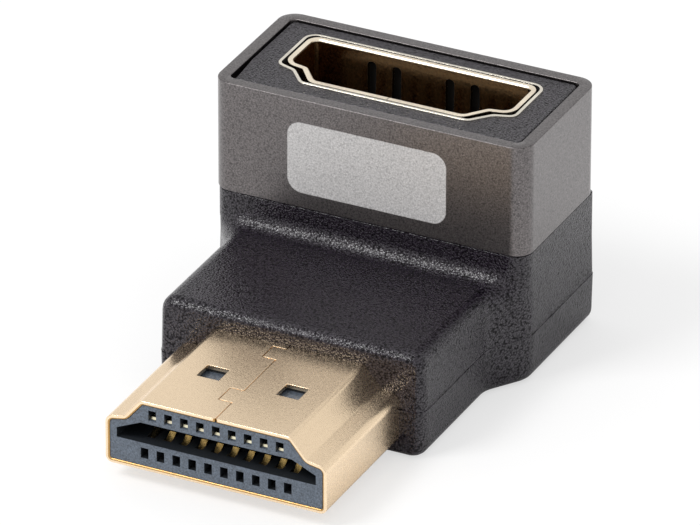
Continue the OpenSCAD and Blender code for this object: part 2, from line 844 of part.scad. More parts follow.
module circuit_board() {
    color([0.08, 0.25, 0.16])
        difference() {
            translate([0, 0, board_z]) board_shape();
            for (side = [-1, 1], y = leg_places)
                translate([side * leg_x, y, board_z])
                    span([-socket_sheet / 2 - leg_gap, -leg_w / 2 - leg_gap, -over],
                        [socket_sheet / 2 + leg_gap, leg_w / 2 + leg_gap, board_t + over]);
        }
}

module inner_mould() {
    color([0.75, 0.74, 0.7])
        difference() {
            inner_block();
            plug_prism(0, inner_front - over, plug_back);
            span([-plug_w / 2, plug_back - slip, plug_z + 0.5],
                [plug_w / 2, plug_back + pocket_len, plug_z + plug_h - 0.5]);
            translate([0, 0, board_z]) board_shape();
            span([-board_back_hw + 0.2, leg_places[0] - leg_w, board_z - 0.8],
                [board_back_hw - 0.2, leg_places[1] + leg_w, board_z + 0.1]);
            socket_prism(outer_g, board_top - 0.01, inner_neck_top + over);
            shield_prism(0, shield_bottom, inner_neck_top + over);
        }
}

outer_sleeve();
body_overmould();
plug_shell();
plug_insulator();
socket_shell();
socket_outer_shield();
socket_insulator();
circuit_board();
inner_mould();
for (k = pins) plug_contact(k);
for (k = pins) socket_contact(k);
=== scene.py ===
"""Looks of a right-angle video adapter: smooth shells, grain, plated metal and its studio."""

import math

import bmesh
import bpy
from bpy.props import FloatProperty, FloatVectorProperty, IntProperty, PointerProperty
from mathutils import Matrix, Vector


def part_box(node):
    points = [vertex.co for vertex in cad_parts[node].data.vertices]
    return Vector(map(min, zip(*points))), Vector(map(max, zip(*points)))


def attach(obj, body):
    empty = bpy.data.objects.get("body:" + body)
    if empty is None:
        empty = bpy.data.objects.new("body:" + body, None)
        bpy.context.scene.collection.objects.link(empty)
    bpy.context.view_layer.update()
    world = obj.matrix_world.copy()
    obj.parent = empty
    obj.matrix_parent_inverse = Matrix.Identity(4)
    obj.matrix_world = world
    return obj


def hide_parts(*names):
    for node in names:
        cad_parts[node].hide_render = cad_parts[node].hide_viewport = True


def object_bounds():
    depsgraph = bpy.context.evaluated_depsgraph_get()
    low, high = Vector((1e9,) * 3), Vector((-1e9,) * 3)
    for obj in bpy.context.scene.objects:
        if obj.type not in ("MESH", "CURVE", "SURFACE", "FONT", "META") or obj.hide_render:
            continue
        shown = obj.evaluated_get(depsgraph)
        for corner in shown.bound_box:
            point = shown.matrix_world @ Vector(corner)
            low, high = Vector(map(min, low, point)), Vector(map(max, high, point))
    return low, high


bl_info = {
    "name": "Right-angle video adapter",
    "version": (1, 0, 0),
    "blender": (4, 5, 0),
    "location": "3D View > Sidebar > Adapter",
    "description": "Gives the adapter its shells, grain, plating and studio",
    "category": "Object",
}

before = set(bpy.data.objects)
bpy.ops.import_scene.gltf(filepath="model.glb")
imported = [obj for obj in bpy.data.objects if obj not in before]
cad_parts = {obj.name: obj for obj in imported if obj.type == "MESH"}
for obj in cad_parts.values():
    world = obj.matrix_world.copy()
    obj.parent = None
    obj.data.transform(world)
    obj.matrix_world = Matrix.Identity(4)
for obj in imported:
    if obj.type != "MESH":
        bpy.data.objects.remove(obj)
CAD_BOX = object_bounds()
BODY = "root"
MM = 0.001
PINS = range(1, 20)

SLEEVE_LOW, SLEEVE_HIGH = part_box("outer_sleeve")
PLUG_LOW, PLUG_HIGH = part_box("plug_shell")
SHIELD_LOW, SHIELD_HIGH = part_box("socket_outer_shield")
INSULATOR_LOW, INSULATOR_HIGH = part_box("plug_insulator")

# Points this close are one point
SAME_POINT = 1e-7

# Angles between two faces: in one flat face, at a corner, at a rim, at a crease of the moulding
FLAT = math.radians(0.4)
CORNER = math.radians(30)
RIM = math.radians(45)
CREASE = math.radians(50)

# A face looks along an axis when its normal's share along that axis is over this
LEANING = 0.5

# Where the riser, the flare and the neck run together, on both sides of the body
FLARE_X = 7.2 * MM
FLARE_Y = (-8.0 * MM, -4.2 * MM)
FLARE_Z = (5.7 * MM, 8.0 * MM)
FLARE_EDGE = 1.5 * MM
FLARE_ROUNDS = 8

# Height where the body's neck enters the sleeve, and the space round the socket's ring
NECK_FOOT = 8.1 * MM
RING_SPACE = 0.1 * MM

# Front skin of the plug's insulator, depth of its latch pockets, length of a contact's tip
FRONT_SKIN = 0.05 * MM
POCKET_DEPTH = 1.1 * MM
TIP_LENGTH = 0.1 * MM

# A point of the parting line moves outward only if its normal leans sideways by this share
SIDEWAYS = 0.01

# A noise texture's usual span, and how far the grain moves a surface's roughness
NOISE_SPAN = (0.3, 0.7)
GLOSS_SWING = 0.06

# The printed panel's soft outline
PRINT_EDGE = 0.02 * MM

# The point that the lamp looks at
LIT_POINT = Vector((0.0, -6.0, 8.0)) * MM


class AdapterSizes(bpy.types.PropertyGroup):
    """Sizes of the edges, the drawn-in ring, the contacts' tips and the printed panel"""

    metal_edge: FloatProperty(
        name="Metal edge", description="Width of the broken edges on the folded sheets",
        default=0.03 * MM, min=0.0, unit="LENGTH")
    sleeve_edge: FloatProperty(
        name="Sleeve edge", description="Width of the bright bevel round the sleeve's rims",
        default=0.05 * MM, min=0.0, unit="LENGTH")
    sleeve_corner: FloatProperty(
        name="Sleeve corner", description="Outer corner radius of the sleeve",
        default=1.1 * MM, min=0.0, unit="LENGTH")
    sleeve_wall: FloatProperty(
        name="Sleeve wall", description="Wall of the sleeve",
        default=0.75 * MM, min=0.0, unit="LENGTH")
    plastic_edge: FloatProperty(
        name="Plastic edge", description="Width of the broken edges on the insulators",
        default=0.03 * MM, min=0.0, unit="LENGTH")
    rim_edge: FloatProperty(
        name="Plug rim, inside", description="Width of the bevel inside the plug's mouth",
        default=0.12 * MM, min=0.0, unit="LENGTH")
    shell_edge: FloatProperty(
        name="Shell edge", description="Width of the bevels outside the plug's mouth and on the "
        "socket's shell", default=0.05 * MM, min=0.0, unit="LENGTH")
    lip_height: FloatProperty(
        name="Lip height", description="Height of the socket's flared lip in the part's own shape",
        default=0.4 * MM, min=0.0, unit="LENGTH")
    lip_share: FloatProperty(
        name="Lip share", description="Share of that height that the pressed lip keeps",
        default=0.3, min=0.05, max=1.0, subtype="FACTOR")
    ring_shift: FloatProperty(
        name="Ring shift", description="How far the back of the socket's ring and lip comes forward",
        default=0.3 * MM, min=0.0, unit="LENGTH")
    ring_middle: FloatProperty(
        name="Ring middle", description="Where the ring starts to come forward, from the socket's axis",
        default=0.24 * MM, unit="LENGTH")
    parting: FloatProperty(
        name="Parting height", description="Height of the body's parting line",
        default=3.05 * MM, min=0.0, unit="LENGTH")
    parting_join: FloatProperty(
        name="Parting join", description="Rings of the parting line this close become one",
        default=0.025 * MM, min=0.0, unit="LENGTH")
    parting_out: FloatProperty(
        name="Parting ease", description="How far the parting line's ledge comes outward",
        default=0.022 * MM, min=0.0, unit="LENGTH")
    tip_reach: FloatProperty(
        name="Tip reach", description="How much nearer the front the upper contacts' tips show",
        default=0.35 * MM, min=0.0, unit="LENGTH")
    tip_drop: FloatProperty(
        name="Tip drop", description="Share of that reach by which the tips also come down",
        default=0.45, min=0.0, max=1.0, subtype="FACTOR")
    edge_steps: IntProperty(
        name="Edge steps", description="Facets across each broken edge", default=2, min=1)
    corner_steps: IntProperty(
        name="Corner steps", description="Facets round each upright corner of the sleeve",
        default=16, min=1)
    panel_width: FloatProperty(
        name="Panel width", description="Width of the pale printed panel",
        default=10.1 * MM, min=0.0, unit="LENGTH")
    panel_height: FloatProperty(
        name="Panel height", description="Height of the pale printed panel",
        default=4.55 * MM, min=0.0, unit="LENGTH")
    panel_corner: FloatProperty(
        name="Panel corner", description="Corner radius of the panel",
        default=0.9 * MM, min=0.0, unit="LENGTH")
    panel_x: FloatProperty(
        name="Panel sideways", description="Panel's middle, from the sleeve's middle",
        default=-0.08 * MM, unit="LENGTH")
    panel_z: FloatProperty(
        name="Panel height above base", description="Height of the panel's middle",
        default=11.72 * MM, unit="LENGTH")


class AdapterFinish(bpy.types.PropertyGroup):
    """Colours of the adapter's finishes"""

    sleeve: FloatVectorProperty(
        name="Sleeve", description="Dark bead-blasted aluminium", subtype="COLOR",
        size=3, default=(0.125, 0.113, 0.113))
    panel: FloatVectorProperty(
        name="Panel", description="Pale print on the sleeve", subtype="COLOR",
        size=3, default=(0.45, 0.44, 0.44))
    plastic: FloatVectorProperty(
        name="Body", description="Black moulded plastic", subtype="COLOR",
        size=3, default=(0.0065, 0.0035, 0.0085))
    gold: FloatVectorProperty(
        name="Gold plating", description="Satin gold on the plug", subtype="COLOR",
        size=3, default=(0.94, 0.735, 0.51))
    # Darker orange gold inside the plug's mouth is a painted reflection on the same plating
    rim_gold_painted_reflection: FloatVectorProperty(
        name="Rim gold", description="Deep gold inside the plug's mouth", subtype="COLOR",
        size=3, default=(0.52, 0.32, 0.13))
    # Darkened gold on the socket's inner walls is painted shade in the cavity, on the same plating
    socket_gold_painted_shade: FloatVectorProperty(
        name="Socket gold", description="Deep gold on the socket's inner walls", subtype="COLOR",
        size=3, default=(0.52, 0.30, 0.13))
    lip_gold: FloatVectorProperty(
        name="Lip gold", description="Pale gold on the socket's lip and cut edges", subtype="COLOR",
        size=3, default=(0.92, 0.80, 0.64))
    # Darkened gold on the contacts deep in the plug and socket is painted shade
    contact_gold_painted_shade: FloatVectorProperty(
        name="Contact gold", description="Bright gold on the contacts", subtype="COLOR",
        size=3, default=(0.42, 0.31, 0.15))
    tip_gold: FloatVectorProperty(
        name="Tip gold", description="Pale gold on the upper contacts", subtype="COLOR",
        size=3, default=(0.95, 0.85, 0.62))
    shield: FloatVectorProperty(
        name="Shield", description="Pale plated ring round the socket", subtype="COLOR",
        size=3, default=(0.80, 0.75, 0.65))
    # Black painted shade for the ring's inner wall where it shows behind the shell's slots; the real
    # wall is plated like the ring
    inside: FloatVectorProperty(
        name="Inside", description="Dull black of the ring's hidden inner wall", subtype="COLOR",
        size=3, default=(0.001, 0.001, 0.001))
    slate: FloatVectorProperty(
        name="Insulator", description="Slate-grey insulators", subtype="COLOR",
        size=3, default=(0.085, 0.105, 0.135))
    # Darker slate in the insulator's slot, windows and channels is painted shade
    hollow_painted_shade: FloatProperty(
        name="Hollow shade", description="Share of the slate colour that the hollows keep",
        default=0.15, min=0.0, max=1.0, subtype="FACTOR")
    board: FloatVectorProperty(
        name="Circuit board", description="Green lacquer", subtype="COLOR",
        size=3, default=(0.02, 0.10, 0.05))
    premould: FloatVectorProperty(
        name="Inner mould", description="Natural plastic under the body", subtype="COLOR",
        size=3, default=(0.55, 0.52, 0.45))


class AdapterStudio(bpy.types.PropertyGroup):
    """Camera, lamp, floor and backdrop of the studio"""

    azimuth: FloatProperty(
        name="Azimuth", description="Camera's turn to the right of the plug's axis",
        default=math.radians(26.07), subtype="ANGLE")
    elevation: FloatProperty(
        name="Elevation", description="Camera's height above level", default=math.radians(28.54),
        subtype="ANGLE")
    roll: FloatProperty(
        name="Roll", description="Camera's turn about its own axis", default=math.radians(0.1),
        subtype="ANGLE")
    distance: FloatProperty(
        name="Distance", description="From the camera to the point it aims at", default=0.55,
        unit="LENGTH")
    aim: FloatVectorProperty(
        name="Aim", description="Point in the middle of the picture", size=3,
        default=(0.0082965, -0.0240819, 0.0172839), subtype="TRANSLATION")
    lens: FloatProperty(
        name="Lens", description="Focal length in millimetres on a 36 mm frame", default=513.4)
    key_side: FloatVectorProperty(
        name="Key side", description="Direction from the adapter to the lamp", size=3,
        default=(-0.39, -0.48, 0.79), subtype="DIRECTION")
    key_distance: FloatProperty(
        name="Key distance", description="From the adapter to the lamp", default=0.5, unit="LENGTH")
    key_size: FloatProperty(
        name="Key size", description="Side of the square lamp", default=0.18, unit="LENGTH")
    key_power: FloatProperty(
        name="Key power", description="Power of the lamp", default=1.3, min=0.0, unit="POWER")
    backdrop: FloatProperty(
        name="Backdrop", description="Strength of the white all round", default=0.86, min=0.0)
    floor_size: FloatProperty(
        name="Floor size", description="Side of the pale floor", default=1.6, unit="LENGTH")
    floor_shade: FloatProperty(
        name="Floor shade", description="Share of the light that the floor gives back",
        default=0.9, min=0.0, max=1.0, subtype="FACTOR")
    floor_white: FloatProperty(
        name="Floor white", description="Share of plain white in the floor that the camera sees",
        default=0.6, min=0.0, max=1.0, subtype="FACTOR")


def settings():
    """The three property groups of this scene."""
    scene = bpy.context.scene
    return scene.adapter_sizes, scene.adapter_finish, scene.adapter_studio


# Meshes


def new_piece(name, bm, node):
    """A smooth object at the origin that rides on the body and stands for a CAD node."""
    for face in bm.faces:
        face.smooth = True
    mesh = bpy.data.meshes.new(name)
    bm.to_mesh(mesh)
    bm.free()
    piece = bpy.data.objects.new(name, mesh)
    bpy.context.scene.collection.objects.link(piece)
    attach(piece, BODY)
    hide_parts(node)
    shade_flats(piece)
    return piece


def shade_flats(piece):
    """Keeps flat faces flat beside the smooth rounds."""
    modifier = piece.modifiers.new("flat_faces", "WEIGHTED_NORMAL")
    modifier.keep_sharp = True
    modifier.weight = 100


def sharp_edges(bm, angle):
    """Edges whose two faces meet at more than an angle."""
    return [e for e in bm.edges if e.is_manifold and e.calc_face_angle(0.0) > angle]


def break_edges(bm, edges, width, steps, material=-1):
    """Rounds edges by a small width; -1 keeps the material of the faces beside them."""
    bmesh.ops.bevel(bm, geom=edges, offset=width, offset_type="OFFSET", segments=steps,
                    profile=0.5, affect="EDGES", material=material, clamp_overlap=True)


def merged_copy(node):
    """A bmesh of a CAD node with its loose triangles joined."""
    bm = bmesh.new()
    bm.from_mesh(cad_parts[node].data)
    bmesh.ops.remove_doubles(bm, verts=bm.verts, dist=SAME_POINT)
    return bm


def whole_faces(bm):
    """Joins the triangles of each flat face."""
    bmesh.ops.dissolve_limit(bm, angle_limit=FLAT, verts=bm.verts, edges=bm.edges)


def draw_in(verts, sizes):
    """Brings the back of the socket's ring forward, most at its farthest wall."""
    span = SHIELD_HIGH.y - sizes.ring_middle
    for vert in verts:
        share = (vert.co.y - sizes.ring_middle) / span
        vert.co.y -= sizes.ring_shift * min(max(share, 0.0), 1.0)


def broken_copy(bm, node, width, material=-1):
    """A smooth piece from a bmesh of a CAD node, with all its corners broken."""
    sizes, _, _ = settings()
    break_edges(bm, sharp_edges(bm, CORNER), width, sizes.edge_steps, material)
    return new_piece(node + "_finished", bm, node)


def creased_copy(bm, node, creases):
    """A smooth piece from a bmesh of a CAD node, with creases in its shading and no bevels."""
    for edge in creases:
        edge.smooth = False
    return new_piece(node + "_finished", bm, node)


def insulator_copy(node):
    """An insulator with its own shape and broken corners."""
    sizes, _, _ = settings()
    bm = merged_copy(node)
    whole_faces(bm)
    return broken_copy(bm, node, sizes.plastic_edge)


def faces_inward(face, middle):
    """Whether a face looks toward a point."""
    return face.normal.dot(face.calc_center_median() - middle) < 0


# Shaders


def add(tree, kind, place=(0, 0), **values):
    """A node with its settings; names that match an input set that input."""
    node = tree.nodes.new(kind)
    node.location = place
    for key, value in values.items():
        if key in node.inputs:
            node.inputs[key].default_value = value
        else:
            setattr(node, key, value)
    return node


def new_group(name, inputs, outputs):
    """A shader group with named sockets."""
    tree = bpy.data.node_groups.new(name, "ShaderNodeTree")
    for label, kind, default in inputs:
        socket = tree.interface.new_socket(name=label, in_out="INPUT", socket_type=kind)
        if default is not None:
            socket.default_value = default
    for label, kind in outputs:
        tree.interface.new_socket(name=label, in_out="OUTPUT", socket_type=kind)
    return tree, add(tree, "NodeGroupInput", (-900, 0)), add(tree, "NodeGroupOutput", (700, 0))


def grain_group():
    """Pebbled grain of a blasted or etched surface: its height and a slow mottle."""
    tree, start, end = new_group(
        "fine_grain",
        [("Vector", "NodeSocketVector", None), ("Cell", "NodeSocketFloat", 0.12 * MM),
         ("Pebbles", "NodeSocketFloat", 0.5)],
        [("Height", "NodeSocketFloat"), ("Mottle", "NodeSocketFloat")])
    link = tree.links.new
    per_metre = add(tree, "ShaderNodeMath", (-700, -200), operation="DIVIDE")
    per_metre.inputs[0].default_value = 1.0
    link(start.outputs["Cell"], per_metre.inputs[1])
    wander = add(tree, "ShaderNodeTexNoise", (-700, 300), Detail=1.0)
    link(start.outputs["Vector"], wander.inputs["Vector"])
    link(per_metre.outputs[0], wander.inputs["Scale"])
    swing = add(tree, "ShaderNodeVectorMath", (-560, 300), operation="SCALE")
    link(wander.outputs["Color"], swing.inputs[0])
    link(start.outputs["Cell"], swing.inputs["Scale"])
    bent = add(tree, "ShaderNodeVectorMath", (-450, 300), operation="ADD")
    link(start.outputs["Vector"], bent.inputs[0])
    link(swing.outputs[0], bent.inputs[1])
    grit = add(tree, "ShaderNodeTexNoise", (-300, 200), Detail=2.0, Roughness=0.6)
    pebbles = add(tree, "ShaderNodeTexVoronoi", (-300, -100), feature="SMOOTH_F1", Smoothness=0.4)
    for texture in (grit, pebbles):
        link(bent.outputs[0], texture.inputs["Vector"])
        link(per_metre.outputs[0], texture.inputs["Scale"])
    dome = add(tree, "ShaderNodeMath", (-100, -100), operation="SUBTRACT")
    dome.inputs[0].default_value = 1.0
    link(pebbles.outputs["Distance"], dome.inputs[1])
    height = add(tree, "ShaderNodeMix", (100, 100), data_type="FLOAT")
    link(start.outputs["Pebbles"], height.inputs["Factor"])
    link(grit.outputs["Fac"], height.inputs["A"])
    link(dome.outputs[0], height.inputs["B"])
    link(height.outputs["Result"], end.inputs["Height"])
    mottle = add(tree, "ShaderNodeTexNoise", (-450, -400), Scale=700.0, Detail=4.0)
    link(start.outputs["Vector"], mottle.inputs["Vector"])
    link(mottle.outputs["Fac"], end.inputs["Mottle"])


def new_material(name, color, metallic, roughness):
    """A material with its Principled shader and Object coordinates."""
    material = bpy.data.materials.new(name)
    material.use_nodes = True
    tree = material.node_tree
    tree.nodes.clear()
    output = add(tree, "ShaderNodeOutputMaterial", (900, 0))
    shader = add(tree, "ShaderNodeBsdfPrincipled", (600, 0), Metallic=metallic, Roughness=roughness)
    shader.inputs["Base Color"].default_value = (*color, 1.0)
    tree.links.new(shader.outputs["BSDF"], output.inputs["Surface"])
    coordinates = add(tree, "ShaderNodeTexCoord", (-900, 0))
    return tree, shader, coordinates


def add_grain(tree, shader, coordinates, cell, depth, pebbles):
    """Puts the grain's relief on a shader, with its cell and depth in millimetres."""
    grain = add(tree, "ShaderNodeGroup", (-600, -200),
                node_tree=bpy.data.node_groups["fine_grain"])
    grain.inputs["Cell"].default_value = cell * MM
    grain.inputs["Pebbles"].default_value = pebbles
    tree.links.new(coordinates.outputs["Object"], grain.inputs["Vector"])
    bump = add(tree, "ShaderNodeBump", (300, -300), Distance=depth * MM)
    tree.links.new(grain.outputs["Height"], bump.inputs["Height"])
    tree.links.new(bump.outputs["Normal"], shader.inputs["Normal"])
    return grain, bump


def vary(tree, source, target, low, high, place=(0, -100)):
    """Maps a noise onto a span of values of one input."""
    spread = add(tree, "ShaderNodeMapRange", place)
    spread.inputs["From Min"].default_value, spread.inputs["From Max"].default_value = NOISE_SPAN
    spread.inputs["To Min"].default_value = low
    spread.inputs["To Max"].default_value = high
    tree.links.new(source, spread.inputs["Value"])
    tree.links.new(spread.outputs["Result"], target)


def tint(tree, source, color, spread, shader, place=(0, 200)):
    """Varies a base colour to either side of itself by a share."""
    mix = add(tree, "ShaderNodeMix", place, data_type="RGBA")
    mix.inputs["A"].default_value = (*(c * (1 - spread) for c in color), 1.0)
    mix.inputs["B"].default_value = (*(min(c * (1 + spread), 1.0) for c in color), 1.0)
    vary(tree, source, mix.inputs["Factor"], 0.0, 1.0, (place[0] - 250, place[1]))
    tree.links.new(mix.outputs["Result"], shader.inputs["Base Color"])
    return mix


def grained_material(name, color, metallic, roughness, cell, depth, pebbles=0.5, spread=0.12,
                     shade="Mottle", glints=0.0):
    """A material whose grain moves its normal, its gloss, its shade and, with glints, its shine."""
    tree, shader, coordinates = new_material(name, color, metallic, roughness)
    grain, _ = add_grain(tree, shader, coordinates, cell, depth, pebbles)
    height = grain.outputs["Height"]
    tint(tree, grain.outputs[shade], color, spread, shader)
    vary(tree, height, shader.inputs["Roughness"], roughness - GLOSS_SWING, roughness + GLOSS_SWING)
    if glints > 0:
        vary(tree, height, shader.inputs["Specular IOR Level"], 0.5 - glints, 0.5 + glints)


def panel_mask(tree, coordinates, sizes):
    """White inside the rounded panel on the sleeve's front face, black elsewhere."""
    link = tree.links.new
    point = coordinates.outputs["Object"]
    steps = (
        ("SUBTRACT", (sizes.panel_x, 0.0, sizes.panel_z)),
        ("MULTIPLY", (1.0, 0.0, 1.0)),
        ("ABSOLUTE", None),
        ("SUBTRACT", (sizes.panel_width / 2 - sizes.panel_corner, 0.0,
                      sizes.panel_height / 2 - sizes.panel_corner)),
        ("MAXIMUM", (0.0, 0.0, 0.0)),
    )
    for number, (operation, value) in enumerate(steps):
        step = add(tree, "ShaderNodeVectorMath", (-700 + 150 * number, 500), operation=operation)
        link(point, step.inputs[0])
        if value:
            step.inputs[1].default_value = value
        point = step.outputs["Vector"]
    away = add(tree, "ShaderNodeVectorMath", (50, 500), operation="LENGTH")
    link(point, away.inputs[0])
    inside = add(tree, "ShaderNodeMapRange", (200, 500))
    inside.inputs["From Min"].default_value = sizes.panel_corner + PRINT_EDGE
    inside.inputs["From Max"].default_value = sizes.panel_corner - PRINT_EDGE
    link(away.outputs["Value"], inside.inputs["Value"])
    parts = add(tree, "ShaderNodeSeparateXYZ", (-700, 700))
    link(coordinates.outputs["Object"], parts.inputs["Vector"])
    front = add(tree, "ShaderNodeMath", (200, 700), operation="LESS_THAN")
    front.inputs[1].default_value = SLEEVE_LOW.y + sizes.sleeve_wall / 2
    link(parts.outputs["Y"], front.inputs[0])
    mask = add(tree, "ShaderNodeMath", (350, 600), operation="MULTIPLY")
    link(inside.outputs["Result"], mask.inputs[0])
    link(front.outputs[0], mask.inputs[1])
    return mask.outputs[0]


def sleeve_material(sizes, finish):
    """Blasted aluminium with the pale panel printed on its front face."""
    color = tuple(finish.sleeve)
    tree, shader, coordinates = new_material("blasted_aluminium", color, 1.0, 0.34)
    link = tree.links.new
    grain, bump = add_grain(tree, shader, coordinates, cell=0.1, depth=0.006, pebbles=0.3)
    shader.inputs["Coat Weight"].default_value = 0.6
    shader.inputs["Coat Roughness"].default_value = 0.3
    link(bump.outputs["Normal"], shader.inputs["Coat Normal"])
    height = grain.outputs["Height"]
    metal = tint(tree, height, color, 0.6, shader)
    printed = tint(tree, height, tuple(finish.panel), 0.35, shader, (0, -500))
    panel = panel_mask(tree, coordinates, sizes)
    pale = add(tree, "ShaderNodeMix", (400, 200), data_type="RGBA")
    link(panel, pale.inputs["Factor"])
    link(metal.outputs["Result"], pale.inputs["A"])
    link(printed.outputs["Result"], pale.inputs["B"])
    link(pale.outputs["Result"], shader.inputs["Base Color"])
    bare = add(tree, "ShaderNodeMapRange", (400, 0))
    bare.inputs["To Min"].default_value = 1.0
    bare.inputs["To Max"].default_value = 0.0
    link(panel, bare.inputs["Value"])
    link(bare.outputs["Result"], shader.inputs["Metallic"])


def assign(thing, *names):
    """Gives a piece or CAD node its materials; its faces keep their own numbers among them."""
    numbers = [face.material_index for face in thing.data.polygons]
    thing.data.materials.clear()
    for name in names:
        thing.data.materials.append(bpy.data.materials[name])
    if len(names) > 1:
        thing.data.polygons.foreach_set("material_index", numbers)


def second_material(piece, name, chosen):
    """Gives a second material to the faces that a test picks."""
    piece.data.materials.append(bpy.data.materials[name])
    for face in piece.data.polygons:
        if chosen(face):
            face.material_index = 1


# Pieces


class ADAPTER_OT_finishes(bpy.types.Operator):
    """Make the shared grain and every material"""

    bl_idname = "adapter.finishes"
    bl_label = "Finishes"

    def execute(self, context):
        sizes, finish, _ = settings()
        grain_group()
        sleeve_material(sizes, finish)
        self.make_golds(finish)
        self.make_plastics(finish)
        return {"FINISHED"}

    def make_golds(self, finish):
        """The plated metals, from the plug's satin to the ring's pale nickel."""
        grained_material("satin_gold", tuple(finish.gold), metallic=1.0, roughness=0.26,
                         cell=0.1, depth=0.008, pebbles=0.3, spread=0.08, shade="Height")
        grained_material("rim_gold_painted_reflection", tuple(finish.rim_gold_painted_reflection), metallic=1.0, roughness=0.35,
                         cell=0.1, depth=0.004)
        grained_material("socket_gold_painted_shade", tuple(finish.socket_gold_painted_shade), metallic=1.0, roughness=0.2,
                         cell=0.15, depth=0.01, pebbles=0.3, spread=0.3, shade="Height")
        grained_material("lip_gold", tuple(finish.lip_gold), metallic=1.0, roughness=0.3,
                         cell=0.1, depth=0.004)
        grained_material("contact_gold_painted_shade", tuple(finish.contact_gold_painted_shade), metallic=1.0, roughness=0.22,
                         cell=0.1, depth=0.001)
        grained_material("contact_tips", tuple(finish.tip_gold), metallic=1.0, roughness=0.3,
                         cell=0.1, depth=0.001)
        grained_material("shield_plate", tuple(finish.shield), metallic=1.0, roughness=0.25,
                         cell=0.08, depth=0.002)

    def make_plastics(self, finish):
        """The moulded plastics, the board's lacquer, the painted shade in the insulator's hollows and
        the black painted shade on the ring's inner wall.
        """
        hollow_painted_shade = tuple(finish.hollow_painted_shade * c for c in finish.slate)
        grained_material("moulded_black", tuple(finish.plastic), metallic=0.0, roughness=0.2,
                         cell=0.12, depth=0.045, pebbles=0.7, spread=0.8, shade="Height",
                         glints=0.36)
        grained_material("slate_plastic", tuple(finish.slate), metallic=0.0, roughness=0.45,
                         cell=0.1, depth=0.015, pebbles=0.3, spread=0.5, shade="Height")
        # Painted shade: the slate colour darkened for the insulator's hollows
        grained_material("slate_painted_shade", hollow_painted_shade, metallic=0.0, roughness=0.5,
                         cell=0.1, depth=0.002)
        # Black painted shade on the ring's inner wall
        grained_material("ring_wall_painted_shade", tuple(finish.inside), metallic=0.0, roughness=1.0,
                         cell=0.1, depth=0.001)
        grained_material("board_lacquer", tuple(finish.board), metallic=0.0, roughness=0.3,
                         cell=0.3, depth=0.004)
        grained_material("natural_plastic", tuple(finish.premould), metallic=0.0, roughness=0.5,
                         cell=0.2, depth=0.004)


class ADAPTER_OT_sleeve(bpy.types.Operator):
    """Model the aluminium sleeve as a bevelled tube"""

    bl_idname = "adapter.sleeve"
    bl_label = "Sleeve"

    def execute(self, context):
        sizes, _, _ = settings()
        size = SLEEVE_HIGH - SLEEVE_LOW
        middle = (SLEEVE_HIGH + SLEEVE_LOW) / 2
        bm = bmesh.new()
        block = Matrix.Translation(middle) @ Matrix.Diagonal((*size, 1))
        bmesh.ops.create_cube(bm, size=1.0, matrix=block)
        upright = [e for e in bm.edges if abs(e.verts[0].co.z - e.verts[1].co.z) > size.z / 2]
        break_edges(bm, upright, sizes.sleeve_corner, sizes.corner_steps)
        ends = [f for f in bm.faces if abs(f.normal.z) > LEANING]
        bmesh.ops.delete(bm, geom=ends, context="FACES")
        bmesh.ops.recalc_face_normals(bm, faces=bm.faces)
        bmesh.ops.solidify(bm, geom=bm.faces[:], thickness=sizes.sleeve_wall)
        bmesh.ops.recalc_face_normals(bm, faces=bm.faces)
        break_edges(bm, sharp_edges(bm, RIM), sizes.sleeve_edge, sizes.edge_steps)
        piece = new_piece("sleeve_tube", bm, "outer_sleeve")
        assign(piece, "blasted_aluminium")
        return {"FINISHED"}


class ADAPTER_OT_body(bpy.types.Operator):
    """Smooth the moulded body, ease its corners and grain it"""

    bl_idname = "adapter.body"
    bl_label = "Moulded body"

    def execute(self, context):
        sizes, _, _ = settings()
        bm = merged_copy("body_overmould")
        self.ease_parting(bm, sizes)
        hole = [v for v in bm.verts if abs(v.co.x) < SHIELD_HIGH.x + RING_SPACE
                and v.co.y < SHIELD_HIGH.y + RING_SPACE / 2 and v.co.z > SHIELD_LOW.z - RING_SPACE]
        draw_in(hole, sizes)
        whole_faces(bm)
        self.ease_flares(bm)
        creases = sharp_edges(bm, CREASE)
        creases += [e for e in sharp_edges(bm, CORNER) if e.verts[0].co.z > NECK_FOOT]
        piece = creased_copy(bm, "body_overmould", creases)
        assign(piece, "moulded_black")
        return {"FINISHED"}

    def ease_parting(self, bm, sizes):
        """Joins the parting line's close rings and makes its ledge narrower."""
        line = [v for v in bm.verts if abs(v.co.z - sizes.parting) < 2 * sizes.parting_join]
        bmesh.ops.remove_doubles(bm, verts=line, dist=sizes.parting_join)
        bm.normal_update()
        low = sizes.parting + sizes.parting_join / 2
        high = sizes.parting + 2 * sizes.parting_join
        for vert in [v for v in bm.verts if low < v.co.z < high]:
            out = Vector((vert.normal.x, vert.normal.y, 0.0))
            if out.length > SIDEWAYS:
                vert.co += out.normalized() * sizes.parting_out

    def ease_flares(self, bm):
        """Evens out the small faces where the riser, the flare and the neck run together."""
        ends = [v for v in bm.verts
                if abs(v.co.x) > FLARE_X and FLARE_Y[0] < v.co.y < FLARE_Y[1]
                and FLARE_Z[0] < v.co.z < FLARE_Z[1]
                and max(e.calc_length() for e in v.link_edges) < FLARE_EDGE]
        for _ in range(FLARE_ROUNDS):
            bmesh.ops.smooth_vert(bm, verts=ends, factor=0.5, use_axis_x=True, use_axis_y=True,
                                  use_axis_z=True)


